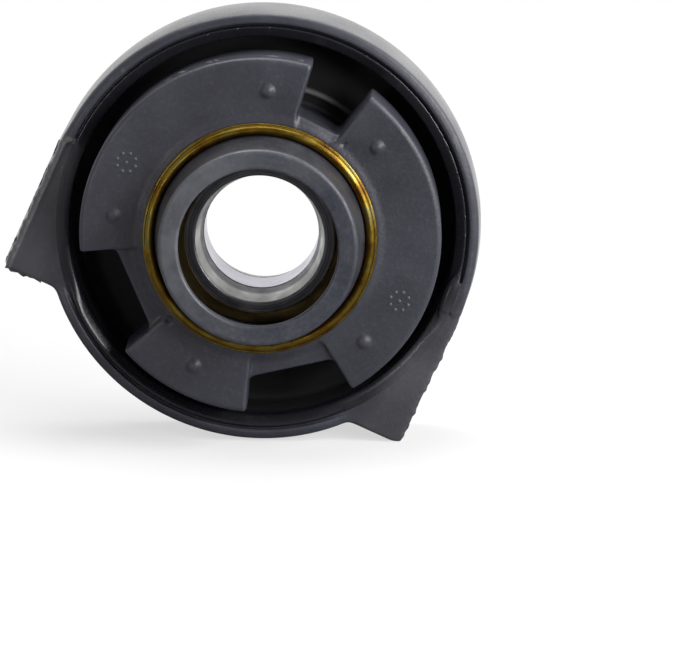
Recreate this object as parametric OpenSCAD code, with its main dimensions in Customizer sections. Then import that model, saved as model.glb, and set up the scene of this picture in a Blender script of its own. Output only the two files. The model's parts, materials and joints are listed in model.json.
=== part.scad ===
// Driveshaft centre bearing: a sealed ball bearing in a steel sleeve, carried by a rubber cushion.
// The bore runs along Y, the front faces -Y, and +Z runs up through the cushion's single notch.
// The origin is the middle of the bearing's bore.

/* [Bearing] */
// Diameter of the shaft bore
bore_d = 30; // [28:0.5:32]
// Outside diameter of the bearing
bearing_od = 55; // [54:0.5:58]
// Width of the bearing, as a share of the space between the bore and the outside
width_share = 1.04; // [0.96:0.02:1.2]
// Diameter of one ball, as a share of the space between the bore and the outside
ball_share = 0.5715; // [0.5:0.0005:0.6]
// Number of balls
ball_count = 11; // [8:1:12]
// Height of each shoulder above the bottom of its groove, in ball diameters
groove_share = 0.196; // [0.14:0.002:0.24]
// Radius of the ball groove, in ball diameters
groove_ratio = 0.52; // [0.51:0.005:0.54]
// Running clearance between a ball and each groove
run_clear = 0.05; // [0.03:0.01:0.1]
// Chamfer on the corners of both rings
ring_chamfer = 0.8; // [0.4:0.1:1.2]

/* [Bearing seals] */
// Thickness of a seal
seal_t = 0.9; // [0.6:0.1:1.2]
// How far a seal lies inside the bearing's face
seal_inset = 0.6; // [0.4:0.1:0.8]
// Radial depth of the seal's recess in the outer ring, in ball diameters
recess_share = 0.18; // [0.12:0.01:0.22]
// Clearance between a seal's lip and the inner ring
lip_clear = 0.08; // [0.05:0.01:0.2]

/* [Cage] */
// Thickness of the cage's pressed sheet
cage_t = 0.6; // [0.4:0.1:0.8]
// Radial width of the cage's band
cage_w = 2.6; // [2:0.1:3]
// Clearance between a ball and its pocket
pocket_clear = 0.1; // [0.05:0.01:0.2]
// Diameter of a rivet's shank
rivet_d = 1; // [0.8:0.1:1.2]
// Diameter of a rivet's head
rivet_head_d = 1.8; // [1.5:0.1:2]
// Height of a rivet's head
rivet_head_h = 0.4; // [0.3:0.1:0.6]

/* [Sleeve] */
// Wall of the steel sleeve
sleeve_wall = 1.2; // [0.8:0.1:1.6]
// How far the sleeve reaches past each face of the bearing
sleeve_over = 10.5; // [8:0.1:12]
// Thickness of the rolled lip at each end
lip_t = 2.4; // [2:0.1:3.2]

/* [Dust seals] */
// Wall of a dust seal
dust_wall = 1.6; // [1.2:0.1:2]
// How far a dust seal's face stands past the sleeve
dust_reach = 10.5; // [8:0.5:12]
// How far inside the sleeve's end the cone starts
dust_seat = 3; // [1:0.5:5]
// Outside diameter of the flat face
dust_face_d = 51; // [48:0.5:52]
// Diameter of the hole in the face
dust_hole_d = 41; // [40.2:0.2:42]
// Length of the lip that turns back round the hole
dust_lip = 2.4; // [1.8:0.2:3.2]
// Rounding of the face's outer edge
dust_round = 1.1; // [0.6:0.1:1.5]

/* [Slingers] */
// How far a slinger stands past the inner ring
slinger_l = 9.4; // [8.4:0.2:10.4]
// Diameter of the slinger's rim
slinger_rim_d = 39.2; // [38.4:0.2:39.6]
// Diameter of the tapered mouth at its widest
slinger_mouth_d = 33.6; // [33:0.2:35]
// Clearance between the slinger's throat and the shaft
slinger_clear = 0.1; // [0.05:0.05:0.3]
// Gap between the slinger's disc and the dust seal round it
slinger_gap = 2.4; // [1.6:0.1:4]
// Thickness of the disc
slinger_disc_t = 1.4; // [1:0.1:2]
// Distance of the disc from the inner ring
slinger_disc_at = 3.4; // [2.6:0.2:4.4]

/* [Cushion ring] */
// Outside diameter of the rubber ring at its rims
ring_od = 113.6; // [110:0.2:116]
// Wall of the ring
ring_wall = 3.1; // [2.6:0.1:4]
// Width of the ring along the bore
ring_w = 22; // [20:0.5:26]
// How far the ring's front rim lies in front of the bearing's middle
ring_front = 4; // [2:0.25:6]
// How much the ring swells between its rims
ring_crown = 0.8; // [0.4:0.1:1.6]
// Rounding of the rims
rim_round = 1; // [0.6:0.1:1.2]

/* [Hub and web] */
// Thickness of the web
web_t = 3; // [2.5:0.25:4]
// How far the web rises from the ring to the hub
web_rise = 7; // [4:0.5:9]
// Rubber over the sleeve where the hub is thinnest
hub_wall = 4.1; // [3.6:0.1:5]
// Width of the collar's front face against the sleeve
collar_w = 2.2; // [1.6:0.1:2.6]

/* [Lobes] */
// Gap between the lobes and the ring
lobe_gap = 6.7; // [5:0.1:8]
// How far the lobes' faces lie in front of the bearing's middle
lobe_front = 14.2; // [12:0.1:14.4]
// Depth of the lobes along the bore
lobe_depth = 15.4; // [12:0.2:17]
// How far the lobes' faces stand above the hub's face
lobe_rise = 1.3; // [0.8:0.1:1.8]
// Chamfer round the lobes' outer edges
lobe_chamfer = 0.7; // [0.4:0.1:1.2]
// How far the lobes are turned from the ears' centre line, in degrees
lobe_turn = -2.5; // [-5:0.5:5]
// Angle of the top notch
top_notch_deg = 20.5; // [16:0.5:26]
// Angle of each side notch
side_notch_deg = 35; // [30:0.5:38]
// Angle from the bottom to the middle of each side notch
side_notch_at = 40; // [36:0.5:46]
// Rubber over the sleeve at the side notches' floors
side_notch_wall = 7.2; // [6:0.1:8]
// Diameter of the small nubs on the lobes' faces
nub_d = 4.2; // [3:0.2:5]
// Height of the nubs
nub_h = 0.7; // [0.4:0.1:1]
// Distance of the nubs from the bore's axis
nub_r = 38.5; // [37:0.5:40]
// Angle between a nub and the edge of the lobe beside it
nub_edge_deg = 14; // [10:0.5:18]

/* [Ears] */
// Width across both ears
ear_span = 116.2; // [115:0.2:119]
// Angle above the bore's axis at which an ear leaves the ring
ear_lead = 18; // [12:1:24]
// How far the ears' flat feet lie below the bore's axis
ear_drop = 38; // [36:0.2:40]
// Radius of the fillet between a foot and the ring
ear_fillet = 12; // [8:0.5:14]
// Width of the raised border along the flank
ear_border = 2.6; // [2:0.1:3]
// Depth of the sunk face inside the border
ear_pocket = 1.2; // [0.6:0.1:2]

/* [Fits] */
// Clearance between pieces that are pressed or bonded together
fit_clear = 0.02; // [0.01:0.01:0.05]
// Clearance between a seal and the recess that holds it
seat_clear = 0.04; // [0.02:0.01:0.1]

/* [Hidden] */
$fn = 96;

BALLS = [for (i = [1 : ball_count]) str("ball_", i < 10 ? "0" : "", i)];

// Bearing
bore_r = bore_d / 2;
bearing_r = bearing_od / 2;
face_at = width_share * (bearing_r - bore_r) / 2;
ball_d = ball_share * (bearing_r - bore_r);
ball_r = ball_d / 2;
pitch_r = (bore_r + bearing_r) / 2;
groove_depth = groove_share * ball_d;
groove_r = groove_ratio * ball_d;
inner_bottom_r = pitch_r - ball_r - run_clear;
outer_bottom_r = pitch_r + ball_r + run_clear;
inner_shoulder_r = inner_bottom_r + groove_depth;
outer_shoulder_r = outer_bottom_r - groove_depth;
seal_seat_r = outer_shoulder_r + recess_share * ball_d;
seal_front = face_at - seal_inset;
seal_back = seal_front - seal_t;
recess_back = seal_back - seat_clear;
pocket_r = ball_r + pocket_clear;
cage_in_r = pitch_r - cage_w / 2;
cage_out_r = pitch_r + cage_w / 2;
ball_step = 360 / ball_count;

// Sleeve and what is pressed into it
sleeve_in_r = bearing_r + fit_clear;
sleeve_out_r = sleeve_in_r + sleeve_wall;
sleeve_end = face_at + sleeve_over;
lip_r = lip_t / 2;
dust_out_r = sleeve_in_r - fit_clear;
dust_front = sleeve_end + dust_reach;
dust_face_r = dust_face_d / 2;
dust_hole_r = dust_hole_d / 2;

// Slingers
slinger_front = face_at + slinger_l;
slinger_throat_r = bore_r + slinger_clear;
disc_back = face_at + slinger_disc_at;
disc_r = dust_out_r - dust_wall - slinger_gap;

// Cushion
ring_out_r = ring_od / 2;
ring_in_r = ring_out_r - ring_wall;
ring_back = ring_front - ring_w;
hub_in_r = sleeve_out_r + fit_clear;
hub_r = hub_in_r + hub_wall;
hub_face = lobe_front - lobe_rise;
hub_back = -sleeve_end + lip_t + fit_clear;
collar_front = sleeve_end - lip_t - fit_clear;
web_back_at_hub = ring_back + web_rise;
lobe_r = ring_in_r - lobe_gap;
lobe_back = lobe_front - lobe_depth;
side_floor = hub_in_r + side_notch_wall;
ear_half = ear_span / 2;

rubber = [0.20, 0.20, 0.23];
zinc = [0.62, 0.50, 0.16];
steel = [0.74, 0.74, 0.77];
cap = [0.29, 0.30, 0.35];

// Points of an arc about a centre, from one angle to another
function arc(centre, r, from, to, steps = 6) = [
    for (i = [0 : steps])
        let (a = from + (to - from) * i / steps)
        centre + r * [cos(a), sin(a)]
];

// Stands a shape on the bore's axis: its X stays, its Y becomes +Z and its Z faces the front
module on_bore() {
    rotate([90, 0, 0]) children();
}

// The same shape on the far side of the bearing
module rear() {
    mirror([0, 1, 0]) children();
}

// A profile of radius and distance to the front, turned round the bore
module turned(profile) {
    on_bore() rotate_extrude() polygon(profile);
}

// Groove that a ball runs in, as a ring of circular section
module groove(centre_r) {
    on_bore() rotate_extrude() translate([centre_r, 0]) circle(r = groove_r);
}

module inner_ring() {
    c = ring_chamfer;
    color(steel) difference() {
        turned([
            [bore_r + c, -face_at], [inner_shoulder_r - c / 2, -face_at],
            [inner_shoulder_r, -face_at + c / 2], [inner_shoulder_r, face_at - c / 2],
            [inner_shoulder_r - c / 2, face_at], [bore_r + c, face_at],
            [bore_r, face_at - c], [bore_r, -face_at + c]
        ]);
        groove(inner_bottom_r + groove_r);
    }
}

module outer_ring() {
    c = ring_chamfer;
    color(steel) difference() {
        turned([
            [seal_seat_r, -face_at], [bearing_r - c, -face_at], [bearing_r, -face_at + c],
            [bearing_r, face_at - c], [bearing_r - c, face_at], [seal_seat_r, face_at],
            [seal_seat_r, recess_back], [outer_shoulder_r, recess_back],
            [outer_shoulder_r, -recess_back], [seal_seat_r, -recess_back]
        ]);
        groove(outer_bottom_r - groove_r);
    }
}

// Flat seal with a lip that thins towards the inner ring
module bearing_seal() {
    lip_edge_r = inner_shoulder_r + lip_clear;
    thin = seal_t / 3;
    turned([
        [lip_edge_r, seal_front - thin], [lip_edge_r + thin, seal_front],
        [seal_seat_r - seat_clear, seal_front], [seal_seat_r - seat_clear, seal_back],
        [lip_edge_r + seal_t, seal_back], [lip_edge_r, seal_front - 2 * thin]
    ]);
}

module front_bearing_seal() {
    color("dimgray") bearing_seal();
}

module rear_bearing_seal() {
    color("dimgray") rear() bearing_seal();
}

// Place on the pitch circle, counted in ball steps from the right
module at_step(step) {
    on_bore() rotate([0, 0, step * ball_step]) translate([pitch_r, 0, 0]) children();
}

// Half of the pressed cage: a flat band with a round pocket over each ball
module cage_half() {
    difference() {
        intersection() {
            turned([
                [cage_in_r, 0], [cage_out_r, 0],
                [cage_out_r, pocket_r + cage_t], [cage_in_r, pocket_r + cage_t]
            ]);
            union() {
                turned([
                    [cage_in_r - cage_t, 0], [cage_out_r + cage_t, 0],
                    [cage_out_r + cage_t, cage_t], [cage_in_r - cage_t, cage_t]
                ]);
                for (i = [1 : ball_count]) at_step(i) sphere(r = pocket_r + cage_t);
            }
        }
        for (i = [1 : ball_count]) {
            at_step(i) sphere(r = pocket_r);
            at_step(i + 0.5) cylinder(r = rivet_d / 2 + fit_clear, h = 4 * cage_t, center = true);
        }
    }
}

module cage_front_half() {
    color("silver") cage_half();
}

module cage_rear_half() {
    color("silver") rear() cage_half();
}

// One rivet between each pair of balls, headed on both sides of the cage
module cage_rivets() {
    color("gray") for (i = [1 : ball_count]) at_step(i + 0.5) {
        cylinder(r = rivet_d / 2, h = 2 * cage_t, center = true);
        for (side = [0, 1]) mirror([0, 0, side]) translate([0, 0, cage_t])
            cylinder(r1 = rivet_head_d / 2, r2 = rivet_d / 2, h = rivet_head_h);
    }
}

module ball(i) {
    color("white") at_step(i) sphere(r = ball_r);
}

// Steel tube with a rolled lip at each end
module bearing_sleeve() {
    lip_at = sleeve_end - lip_r;
    lip_centre_r = sleeve_in_r + lip_r;
    color(zinc) on_bore() rotate_extrude() union() {
        translate([sleeve_in_r, -lip_at]) square([sleeve_wall, 2 * lip_at]);
        for (end = [-lip_at, lip_at]) difference() {
            translate([lip_centre_r, end]) circle(r = lip_r);
            translate([0, -sleeve_end]) square([sleeve_in_r, 2 * sleeve_end]);
        }
    }
}

// Moulded cap: a skirt in the sleeve, a cone, and a flat face that turns back round its hole
module dust_seal() {
    round_at = [dust_face_r - dust_round, dust_front - dust_round];
    cone_at = sleeve_end - dust_seat;
    lean = atan2(dust_out_r - dust_face_r, dust_front - cone_at);
    turned(concat(
        [[dust_out_r - dust_wall, face_at], [dust_out_r, face_at], [dust_out_r, cone_at]],
        arc(round_at, dust_round, lean, 90),
        [
            [dust_hole_r + dust_wall / 2, dust_front],
            [dust_hole_r, dust_front - dust_wall / 2],
            [dust_hole_r, dust_front - dust_lip],
            [dust_hole_r + dust_wall, dust_front - dust_lip],
            [dust_hole_r + dust_wall, dust_front - dust_wall],
            [dust_face_r - dust_wall, dust_front - dust_wall],
            [dust_out_r - dust_wall, cone_at]
        ]
    ));
}

module front_dust_seal() {
    color(cap) dust_seal();
}

module rear_dust_seal() {
    color(cap) rear() dust_seal();
}

// Turned collar against the inner ring, with a tapered mouth and a disc inside the dust seal
module slinger() {
    rim_r = slinger_rim_d / 2;
    mouth_r = slinger_mouth_d / 2;
    foot_r = inner_shoulder_r - ring_chamfer / 2;
    edge = ring_chamfer / 2;
    turned([
        [slinger_throat_r, face_at], [foot_r, face_at], [foot_r, disc_back],
        [disc_r, disc_back], [disc_r, disc_back + slinger_disc_t],
        [rim_r, disc_back + slinger_disc_t], [rim_r, slinger_front - edge],
        [rim_r - edge, slinger_front], [mouth_r, slinger_front]
    ]);
}

module front_slinger() {
    color(steel) slinger();
}

module rear_slinger() {
    color(steel) rear() slinger();
}

// Rubber tube bonded to the sleeve, with a collar that rises to the rolled lip
module cushion_hub() {
    color(rubber) turned([
        [hub_in_r, hub_back], [hub_r, hub_back], [hub_r, hub_face],
        [hub_in_r + collar_w, collar_front], [hub_in_r, collar_front]
    ]);
}

// Cone that carries the hub inside the outer ring
module cushion_web() {
    root_r = hub_r + fit_clear;
    rim_r = ring_in_r - fit_clear;
    color(rubber) turned([
        [root_r, web_back_at_hub], [rim_r, ring_back],
        [rim_r, ring_back + web_t], [root_r, web_back_at_hub + web_t]
    ]);
}

// Outer ring, crowned outside and rounded at both rims
module crowned_ring() {
    crown_half = ring_w / 2 - rim_round;
    crown_r = (crown_half * crown_half + ring_crown * ring_crown) / (2 * ring_crown);
    crown_deg = asin(crown_half / crown_r);
    crown_centre = [ring_out_r + ring_crown - crown_r, ring_front - ring_w / 2];
    turned(concat(
        [
            [ring_in_r, ring_back], [ring_in_r, ring_front - rim_round],
            [ring_in_r + rim_round, ring_front], [ring_out_r - rim_round, ring_front]
        ],
        arc(crown_centre, crown_r, crown_deg, -crown_deg, 8),
        [[ring_out_r - rim_round, ring_back]]
    ));
}

// Prism of one notch between two lobes, with a flat floor and radial sides
module notch(at, deg, floor_r) {
    far = ring_in_r;
    half = tan(deg / 2);
    rotate([0, 0, at + lobe_turn]) linear_extrude(lobe_depth + 2 * lobe_chamfer) polygon([
        [floor_r, -floor_r * half], [far, -far * half], [far, far * half], [floor_r, floor_r * half]
    ]);
}

// All three notches, their floors at the given distances from the axis and their sides widened
module notches(top_floor, side_floor, widen = 0) {
    notch(90, top_notch_deg + widen, top_floor);
    for (side = [-1, 1]) notch(270 + side * side_notch_at, side_notch_deg + widen, side_floor);
}

// Three lobes round the hub, as a ring cut by the notches
module cushion_lobes() {
    c = lobe_chamfer;
    root_r = hub_r + fit_clear;
    lean = (hub_wall - collar_w) / (collar_front - hub_face);
    edge_deg = asin(c / lobe_r);
    color(rubber) difference() {
        turned([
            [root_r, lobe_back], [lobe_r - c, lobe_back], [lobe_r, lobe_back + c],
            [lobe_r, lobe_front - c], [lobe_r - c, lobe_front],
            [root_r - lobe_rise * lean, lobe_front], [root_r, hub_face + fit_clear]
        ]);
        on_bore() translate([0, 0, lobe_back - c]) notches(hub_in_r, side_floor);
        on_bore() translate([0, 0, hub_face]) notches(hub_in_r, hub_in_r, 2 * edge_deg);
    }
    top_edge = 90 - top_notch_deg / 2;
    low_edge = 270 + side_notch_at + side_notch_deg / 2 - 360;
    nub_angles = [
        top_edge - nub_edge_deg, 180 - top_edge + nub_edge_deg, 270,
        low_edge + nub_edge_deg, 180 - low_edge - nub_edge_deg
    ];
    color(rubber) on_bore() for (a = nub_angles)
        rotate([0, 0, a + lobe_turn]) translate([nub_r, 0, lobe_front - nub_h])
            cylinder(d1 = nub_d + nub_h, d2 = nub_d - nub_h, h = 2 * nub_h);
}

// Outline of the right ear: a straight flank, a flat foot and a fillet into the ring
module ear_outline() {
    wall_r = ring_in_r + ring_wall / 2;
    foot_in = sqrt(pow(wall_r + ear_fillet, 2) - pow(ear_drop + ear_fillet, 2));
    fillet_at = [foot_in, -ear_drop - ear_fillet];
    meets = fillet_at * wall_r / (wall_r + ear_fillet);
    leaves = wall_r * [cos(ear_lead), sin(ear_lead)];
    difference() {
        polygon([[0, 0], leaves, [ear_half, 0], [ear_half, -ear_drop], [foot_in, -ear_drop], meets]);
        circle(r = wall_r);
        translate(fillet_at) circle(r = ear_fillet);
    }
}

// Sunk face of the right ear, from the border along its flank to the ring's inner edge
module ear_pocket_outline() {
    edge = ear_half - ear_border;
    difference() {
        polygon([[0, 0], [edge, 0], [edge, ear_border - ear_drop]]);
        circle(r = ring_in_r - lobe_gap / 2);
    }
}

// Outer ring with both ears
module cushion_ring() {
    color(rubber) difference() {
        union() {
            crowned_ring();
            on_bore() for (side = [0, 1]) mirror([side, 0, 0]) translate([0, 0, ring_back])
                linear_extrude(ring_w) ear_outline();
        }
        on_bore() for (side = [0, 1]) mirror([side, 0, 0]) translate([0, 0, ring_front - ear_pocket])
            linear_extrude(2 * ear_pocket) ear_pocket_outline();
    }
}

cushion_ring();
cushion_web();
cushion_hub();
cushion_lobes();
bearing_sleeve();
front_dust_seal();
rear_dust_seal();
outer_ring();
inner_ring();
front_bearing_seal();
rear_bearing_seal();
front_slinger();
rear_slinger();
cage_front_half();
cage_rear_half();
cage_rivets();
for (i = [1 : ball_count]) ball(i);
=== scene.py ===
"""Looks of the driveshaft centre bearing: rubber cushion, plated sleeve, dust seals and steel bearing."""
import json
import math

import bpy
import numpy as np
from mathutils import Matrix, Vector


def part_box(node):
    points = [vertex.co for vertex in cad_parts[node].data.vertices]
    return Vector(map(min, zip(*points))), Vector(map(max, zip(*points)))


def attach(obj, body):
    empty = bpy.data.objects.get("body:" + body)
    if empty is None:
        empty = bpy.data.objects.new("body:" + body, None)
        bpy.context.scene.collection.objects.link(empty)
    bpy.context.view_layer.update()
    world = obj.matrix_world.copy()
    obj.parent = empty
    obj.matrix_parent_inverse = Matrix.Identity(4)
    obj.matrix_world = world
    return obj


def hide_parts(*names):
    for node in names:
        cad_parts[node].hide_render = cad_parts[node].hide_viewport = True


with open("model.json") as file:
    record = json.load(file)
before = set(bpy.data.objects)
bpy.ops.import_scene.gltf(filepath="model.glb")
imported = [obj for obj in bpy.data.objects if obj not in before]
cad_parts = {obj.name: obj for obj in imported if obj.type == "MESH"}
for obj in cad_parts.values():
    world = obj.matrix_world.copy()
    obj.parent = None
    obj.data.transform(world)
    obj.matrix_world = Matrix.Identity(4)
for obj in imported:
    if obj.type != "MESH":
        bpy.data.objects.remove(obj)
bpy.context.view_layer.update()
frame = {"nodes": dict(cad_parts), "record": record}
nodes = frame["nodes"]

# Sizes in millimetres: x to the right, u up and f towards the front, from the middle of the bore
MM = 0.001


def reach(node):
    """Largest radius, rear end and front end of a node that is turned round the bore."""
    low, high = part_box(node)
    return high[0] / MM, -high[1] / MM, -low[1] / MM


RING_LOW, RING_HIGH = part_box("cushion_ring")
HUB_R, HUB_BACK, COLLAR_FRONT = reach("cushion_hub")
LIP_OUT_R, _, SLEEVE_FRONT = reach("bearing_sleeve")
DUST_OUT_R, DUST_FOOT, DUST_FRONT = reach("front_dust_seal")
DISC_R, SLINGER_FOOT, SLINGER_FRONT = reach("front_slinger")
SHOULDER_R, _, RACE_FRONT = reach("inner_ring")
BORE_R = frame["record"]["mounts"][0]["dims"]["r_mm"]
EAR_DROP = -frame["record"]["mounts"][1]["pos_m"][2] / MM

# Ring of the cushion
EAR_EDGE = RING_HIGH[0] / MM
RING_BACK, RING_FRONT = -RING_HIGH[1] / MM, -RING_LOW[1] / MM
RING_W = RING_FRONT - RING_BACK
RING_R = 56.8
RING_CROWN = 0.8
RING_WALL = 3.1
RING_IN = RING_R - RING_WALL
WALL_R = RING_IN + RING_WALL / 2
CROWN_R = RING_R + RING_CROWN
RIM_ROUND = 1.2
RIM_BLEND = 1.5

# Inside of the ring's front edge: a groove that ends at the ears, then a smooth bevelled lip with one bulge
LIP_IN = 3.0
LIP_TILT = math.radians(57)
LIP_ROUND = 0.5
LIP_BLEND = 0.4
GROOVE_W = 0.75
GROOVE_DEEP = 1.5
GROOVE_IN = 0.1
GROOVE_ROUND = 0.3
GROOVE_CLEAR = 1.0
BULGE_AT = math.radians(4.7)
BULGE_IN = 1.3
BULGE_R = RING_IN - BULGE_IN
BULGE = (2.0, 6.0, 1.2)
BULGE_BLEND = 0.6

# Degrees below the horizontal between which the groove runs out above each ear, and below it
GROOVE_STOP = ((-3, 4), (44, 34))

# Web, with a fold round it that shows through the notches
WEB_T = 3.0
WEB_RISE = 7.0
WEB_ROUND = 0.5
FOLD_R = 36.7
FOLD_ROUND = 0.8

# Hub on the sleeve
SEAT_GAP = 0.02
SLEEVE_WALL = 1.2
COLLAR_WALL = 2.2
SLEEVE_IN_R = DUST_OUT_R + SEAT_GAP
SLEEVE_OUT_R = SLEEVE_IN_R + SLEEVE_WALL
COLLAR_R = SLEEVE_OUT_R + COLLAR_WALL
HUB_ROUND = 0.6
HUB_SEAT_ROUND = 0.4

# Lobes, parted by notches whose widths and places are in degrees
LOBE_GAP = 6.7
LOBE_DEEP = 15.4
LOBE_STEP = 1.3
LOBE_R = RING_IN - LOBE_GAP
LOBE_FRONT = 14.2
LOBE_BACK = LOBE_FRONT - LOBE_DEEP
HUB_FACE = LOBE_FRONT - LOBE_STEP
LOBE_TURN = -2.5
LOBE_ROUND = 1.4
TOP_NOTCH = 20.5
SIDE_NOTCH = 35.0
SIDE_NOTCH_AT = 40.0
SIDE_STEP = 7.22
SIDE_FLOOR = SLEEVE_OUT_R + SIDE_STEP
NOTCH_ROUND = 1.6
NOTCH_EDGE = 1.0
STEP_ROUND = 0.8

# Nubs on the lobes' faces, in degrees from the notch beside them, and scuffs as place and radius
NUB_R = 38.5
NUB_EDGE = 14.0
NUB_DOME_R = 2.6
NUB_SUNK = 1.75
SCUFFS = [(-12.6, -29.9, 1.1), (-14.8, -30.8, 0.8), (9.5, 31.5, 0.7)]
SCUFF_LIFT = 0.4

# Ears
EAR_INSET = 0.2
EAR_HALF = EAR_EDGE - EAR_INSET
EAR_LEAD = math.radians(18)
EAR_FILLET = 12.0
EAR_BEVEL = 1.5
EAR_ROUND = 0.8
EAR_TIP_ROUND = 1.5
EAR_FACE_ROUND = 1.0
WORN_ROUND = 0.6

# Sunk faces of the ears: their depth, the left one's border, and where they rise into the rim
EAR_POCKET = 1.2
EAR_BORDER = 2.2
EAR_FADE = (math.radians(40), math.radians(52))
RIGHT_FADE = 12.0
POCKET_ROUND = 2.0
POCKET_FOOT_ROUND = 0.8

# Worn front edge of the ears: its depth, a long wave, a short wave and the beat of the short one,
# the distances behind the front where the wear ends and where it is whole, and its share on the feet
RAGGED = 0.16
RAGGED_WAVES = (0.75, 2.3, 0.41)
RAGGED_FADE = (6.5, 2.5)
FOOT_WEAR = 0.6

# Roundings where the cushion's forms join
EAR_JOIN = 0.8
POCKET_JOIN = 0.9
WEB_JOIN = 2.5
BACK_ROUND = 0.6
LOBE_JOIN = 1.2
NUB_JOIN = 0.4
SCUFF_ROUND = 0.5
CORE_JOIN = 1.5

# The part leans on its round bottom and one worn ear, turned clockwise from its own frame
ROLL = math.radians(24.5)
REST_DROP = CROWN_R


# Implicit fields, negative inside the rubber
def smax(a, b, k):
    """Larger of two fields, with the edge between them rounded over a length k."""
    h = np.clip(0.5 + 0.5 * (a - b) / k, 0, 1)
    return b + (a - b) * h + k * h * (1 - h)


def smin(a, b, k):
    """Smaller of two fields, rounded in the same way."""
    return -smax(-a, -b, k)


def slab(value, low, high, k):
    """Field of what lies between two limits."""
    return smax(value - high, low - value, k)


def smooth_step(value, start, end):
    """Nought at start, one at end and smooth between them."""
    t = np.clip((value - start) / (end - start), 0, 1)
    return t * t * (3 - 2 * t)


def ear_share(x, u):
    """One beside the ears, where the ring's edge runs into their faces, and nought elsewhere."""
    low = np.degrees(np.arctan2(-u, np.abs(x)))
    return smooth_step(low, *GROOVE_STOP[0]) * smooth_step(low, *GROOVE_STOP[1])


def bulge_field(x, u, f):
    """Flat swelling on the lip."""
    inward = x * math.cos(BULGE_AT) + u * math.sin(BULGE_AT) - BULGE_R
    along = u * math.cos(BULGE_AT) - x * math.sin(BULGE_AT)
    wide, long, high = BULGE
    away = np.sqrt((inward / wide) ** 2 + (along / long) ** 2 + ((f - RING_FRONT + high / 2) / high) ** 2)
    return (away - 1) * high


def ring_field(x, u, r, f):
    """Outer ring: crowned outside, rounded at both rims, and with a groove, lip and bulge in front."""
    across = (f - (RING_FRONT + RING_BACK) / 2) / (RING_W / 2)
    outside = r - (RING_R + RING_CROWN * (1 - across * across))
    rims = slab(f, RING_BACK, RING_FRONT, RIM_ROUND)
    wall = smax(smax(outside, RING_IN - r, RIM_ROUND), rims, RIM_BLEND)
    bevel = (RING_IN - GROOVE_IN - r) * math.cos(LIP_TILT) + (f - RING_FRONT) * math.sin(LIP_TILT)
    lip = smax(RING_IN - LIP_IN - r, bevel, LIP_ROUND)
    lining = np.maximum(smax(lip, f - RING_FRONT, LIP_ROUND), np.maximum(r - WALL_R, RING_BACK - f))
    groove_at = RING_IN - GROOVE_IN + GROOVE_W / 2
    groove_foot = RING_FRONT - GROOVE_DEEP + (GROOVE_DEEP + GROOVE_CLEAR) * ear_share(x, u)
    groove = smax(np.abs(r - groove_at) - GROOVE_W / 2, groove_foot - f, GROOVE_ROUND)
    grooved = smax(smin(wall, lining, LIP_BLEND), -groove, LIP_BLEND)
    return smin(grooved, bulge_field(x, u, f), BULGE_BLEND)


def web_field(r, f):
    """Conical web from the back of the ring up to the hub, with a fold round it."""
    slope = WEB_RISE / (RING_IN - HUB_R)
    back = RING_BACK + (RING_IN - r) * slope
    thick = slab(f - back, 0, WEB_T, WEB_ROUND) * math.cos(math.atan(slope))
    fold = np.hypot(r - FOLD_R, f - back - WEB_T) - FOLD_ROUND
    return smin(np.maximum(thick, slab(r, SLEEVE_OUT_R, WALL_R, WEB_ROUND)), fold, WEB_ROUND)


def hub_field(r, f):
    """Hub on the sleeve, with a collar that rises to the rolled lip."""
    lean = (HUB_R - COLLAR_R) / (COLLAR_FRONT - HUB_FACE)
    cone = (r - HUB_R + (f - HUB_FACE) * lean) / math.hypot(1, lean)
    side = smax(r - HUB_R, cone, HUB_ROUND)
    ends = slab(f, HUB_BACK, COLLAR_FRONT, HUB_ROUND)
    return smax(smax(side, SLEEVE_OUT_R - r, HUB_SEAT_ROUND), ends, HUB_ROUND)


def notch_field(x, u, at, width, floor):
    """Room of one notch: beyond its flat floor and between its radial sides."""
    a = math.radians(at + LOBE_TURN)
    half = math.radians(width / 2)
    out = x * math.cos(a) + u * math.sin(a)
    side = np.abs(-x * math.sin(a) + u * math.cos(a))
    return smax(floor - out, side * math.cos(half) - out * math.sin(half), NOTCH_ROUND)


NOTCHES = [(90, TOP_NOTCH, HUB_R)] + [(270 + s * SIDE_NOTCH_AT, SIDE_NOTCH, SIDE_FLOOR) for s in (-1, 1)]


def lobe_field(x, u, r, f):
    """Ring of three lobes, its face sunk between them down to the hub's face."""
    faces = slab(f, LOBE_BACK, LOBE_FRONT, LOBE_ROUND)
    body = smax(slab(r, SLEEVE_OUT_R, LOBE_R, LOBE_ROUND), faces, LOBE_ROUND)
    for at, width, floor in NOTCHES:
        body = smax(body, -notch_field(x, u, at, width, floor), NOTCH_EDGE)
        sunk = smax(notch_field(x, u, at, width, 0), HUB_FACE - f, STEP_ROUND)
        body = smax(body, -sunk, STEP_ROUND)
    return body


def nub_angles():
    """Angles of the five nubs: one in the middle of the lowest lobe, and two on each of the others."""
    top = 90 - TOP_NOTCH / 2
    low = SIDE_NOTCH_AT + SIDE_NOTCH / 2 - 90
    turned = [top - NUB_EDGE, 180 - top + NUB_EDGE, 270, low + NUB_EDGE, 180 - low - NUB_EDGE]
    return [math.radians(a + LOBE_TURN) for a in turned]


def nearest_ball(x, u, f, balls):
    """Field of several balls, given as centre and radius."""
    nearest = None
    for cx, cu, cf, radius in balls:
        ball = np.sqrt((x - cx) ** 2 + (u - cu) ** 2 + (f - cf) ** 2) - radius
        nearest = ball if nearest is None else np.minimum(nearest, ball)
    return nearest


def nub_field(x, u, f):
    """Small domed nubs on the lobes' faces."""
    middle = LOBE_FRONT - NUB_SUNK
    balls = [(NUB_R * math.cos(a), NUB_R * math.sin(a), middle, NUB_DOME_R) for a in nub_angles()]
    return nearest_ball(x, u, f, balls)


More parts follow.
